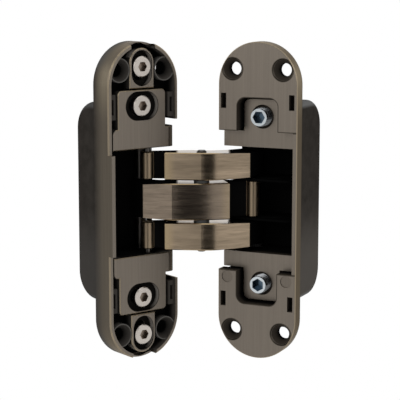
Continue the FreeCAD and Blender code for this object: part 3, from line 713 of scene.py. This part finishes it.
# stage: a pale floor out of the frame, white to the camera, and a dark card behind the camera
stageSizes = {"floorDrop": 0.16, "floorHalf": 3.0, "cardNear": 0.42, "cardTop": 0.5, "cardSteps": 8,
              "cardMiddle": (0.02, 0.0, 0.0), "cardLow": math.radians(222.0), "cardHigh": math.radians(252.0)}
stageTones = {"floor": (0.9, 0.9, 0.9, 1.0), "card": (0.01, 0.01, 0.01, 1.0), "white": (1.0, 1.0, 1.0, 1.0),
              "floorRough": 0.9, "cardRough": 1.0, "seenStrength": 1.0, "roomStrength": 0.75}


# shows the second shader to the named rays and the first to all others
def mixByRay(tree, rays, plain, seen, target):
    path = addNode(tree, "ShaderNodeLightPath")
    mix = addNode(tree, "ShaderNodeMixShader")
    mask = chain(tree, "MAXIMUM", *(path.outputs[ray] for ray in rays))
    for socket, value in zip(mix.inputs, (mask, plain, seen)):
        tree.links.new(value, socket)
    tree.links.new(mix.outputs[0], target)


def makeStageTone(name, colour, roughness):
    material, tree, shader = startMaterial(name, 0.0, roughness)
    shader.inputs["Base Color"].default_value = colour
    return material, tree, shader


white = {"Color": stageTones["white"], "Strength": stageTones["seenStrength"]}
paleFloor, tree, shader = makeStageTone("paleFloor", stageTones["floor"], stageTones["floorRough"])
glow = addNode(tree, "ShaderNodeEmission", white)
mixByRay(tree, ["Is Camera Ray", "Is Transmission Ray"], shader.outputs[0], glow.outputs[0],
         tree.nodes["Material Output"].inputs["Surface"])
mesh = bmesh.new()
bmesh.ops.create_grid(mesh, x_segments=1, y_segments=1, size=stageSizes["floorHalf"],
                      matrix=Matrix.Translation((0, 0, -stageSizes["floorDrop"])))
piece = makePiece("paleFloor", mesh, [paleFloor])

cardBlack = makeStageTone("cardBlack", stageTones["card"], stageTones["cardRough"])[0]
mesh = bmesh.new()
cardX = stageSizes["cardMiddle"][0] + stageSizes["cardNear"] * math.cos(stageSizes["cardLow"])
cardY = stageSizes["cardMiddle"][1] + stageSizes["cardNear"] * math.sin(stageSizes["cardLow"])
start, top = (mesh.verts.new((cardX, cardY, level)) for level in (-stageSizes["floorDrop"], stageSizes["cardTop"]))
edge = mesh.edges.new((start, top))
bmesh.ops.spin(mesh, geom=[start, top, edge], cent=stageSizes["cardMiddle"], axis=(0, 0, 1),
               angle=stageSizes["cardHigh"] - stageSizes["cardLow"], steps=stageSizes["cardSteps"],
               use_duplicate=False)
piece = makePiece("darkCard", mesh, [cardBlack])
piece.visible_camera = False
piece.visible_shadow = False
piece.visible_diffuse = False

world = bpy.data.worlds.new("studioWhite")
bpy.context.scene.world = world
world.use_nodes = True
tree = world.node_tree
plain = tree.nodes["Background"]
plain.inputs["Color"].default_value = stageTones["white"]
plain.inputs["Strength"].default_value = stageTones["roomStrength"]
seen = addNode(tree, "ShaderNodeBackground", white)
mixByRay(tree, ["Is Camera Ray", "Is Glossy Ray", "Is Transmission Ray"], plain.outputs[0], seen.outputs[0],
         tree.nodes["World Output"].inputs["Surface"])


def placeAimed(item, place, aim):
    item.location = place
    item.rotation_euler = (Vector(aim) - Vector(place)).to_track_quat("-Z", "Y").to_euler()
    bpy.context.scene.collection.objects.link(item)


lampAim = (0.02, -0.007, 0.0)
lamps = {
    "leftSoft": {"place": (-0.75, -0.15, 0.45), "size": 0.5, "power": 2.0},
    "rightSoft": {"place": (0.45, -0.75, 0.45), "size": 0.5, "power": 2.0},
}
for lampName, lamp in lamps.items():
    data = bpy.data.lights.new(lampName, "AREA")
    data.size = lamp["size"]
    data.energy = lamp["power"]
    placeAimed(bpy.data.objects.new(lampName, data), lamp["place"], lampAim)

# camera fitted to the photograph's two leaves
view = {"place": (-0.2813, -0.3971, 0.0780), "aim": (0.01907, -0.00701, 0.0), "lens": 127.35, "sensor": 36.0,
        "nearest": 0.01, "farthest": 50.0}
cameraData = bpy.data.cameras.new("hingeView")
cameraData.lens = view["lens"]
cameraData.sensor_width = view["sensor"]
cameraData.clip_start = view["nearest"]
cameraData.clip_end = view["farthest"]
camera = bpy.data.objects.new("hingeView", cameraData)
placeAimed(camera, view["place"], view["aim"])
bpy.context.scene.camera = camera
bpy.context.scene.view_settings.view_transform = "Standard"
print("stage, lamps and camera set")
